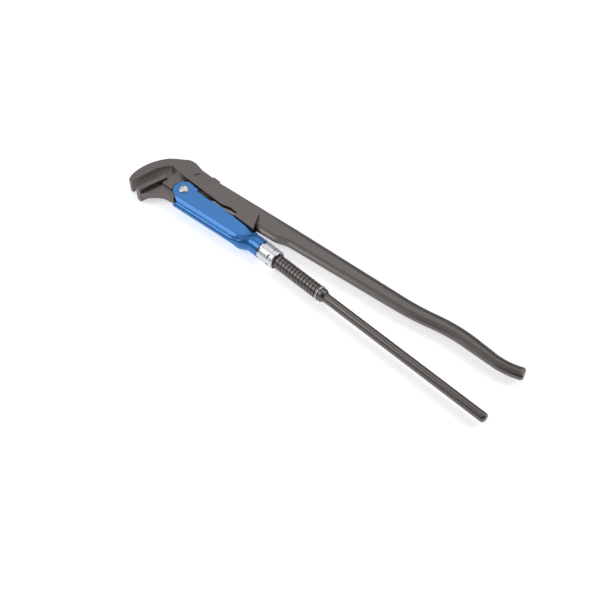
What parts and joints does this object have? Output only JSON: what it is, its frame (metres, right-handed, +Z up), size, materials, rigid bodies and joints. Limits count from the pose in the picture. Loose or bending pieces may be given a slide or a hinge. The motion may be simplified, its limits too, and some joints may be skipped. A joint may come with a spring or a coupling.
{
  "type": "corner pipe wrench",
  "caption": "Corner pipe wrench: forked hook jaw on an S-shaped handle, sliding lower jaw on a threaded rod leg, blue pressed sleeve and adjusting nut.",
  "frame": {"origin": "centre of the bounding box, at the lowest point of the tool as it lies flat", "axes": "+X from the jaws back along the threaded leg, +Y towards the S-shaped handle, +Z up out of the flat side"},
  "size_m": [0.4384, 0.1022, 0.0192],
  "materials": {
    "forged_steel": "satin",
    "blue_paint": "gloss",
    "bright_steel": "satin",
    "spring_steel": "satin"
  },
  "bodies": {
    "sleeve": {"sleeve": "blue_paint", "pivot_rivet": "bright_steel"},
    "nut": {"adjusting_nut": "bright_steel", "nut_retaining_ring": "spring_steel"},
    "leg": {"lower_leg": "forged_steel", "stop_ring": "bright_steel"},
    "arm": {"handle_arm": "forged_steel"},
    "block": {"rocking_block": "forged_steel"},
    "hook": {"hook_jaw": "forged_steel"}
  },
  "joints": [
    {"name": "leg_slide", "type": "slide", "parent": "sleeve", "child": "leg", "axis": [1, 0, 0], "range_m": [-0.009, 0]},
    {"name": "nut_turn", "type": "hinge", "parent": "sleeve", "child": "nut", "pos_m": [-0.04458, -0.01406, 0.0096], "axis": [1, 0, 0], "range_deg": [0, 811]},
    {"name": "arm_hinge", "type": "hinge", "parent": "sleeve", "child": "arm", "pos_m": [-0.16558, -0.01736, 0.0096], "axis": [0, 0, 1], "range_deg": [-1.5, 8]},
    {"name": "block_rock", "type": "hinge", "parent": "arm", "child": "block", "pos_m": [-0.15708, 0.00714, 0.0096], "axis": [0, 0, 1], "range_deg": [-8, 1.5]},
    {"name": "hook_slide", "type": "slide", "parent": "block", "child": "hook", "axis": [1, 0, 0], "range_m": [-0.05, 0]}
  ],
  "couplings": [
    {"joint": "nut_turn", "follows": "leg_slide", "rad_per_m": -1570.8},
    {"joint": "block_rock", "follows": "arm_hinge", "ratio": -1}
  ]
}
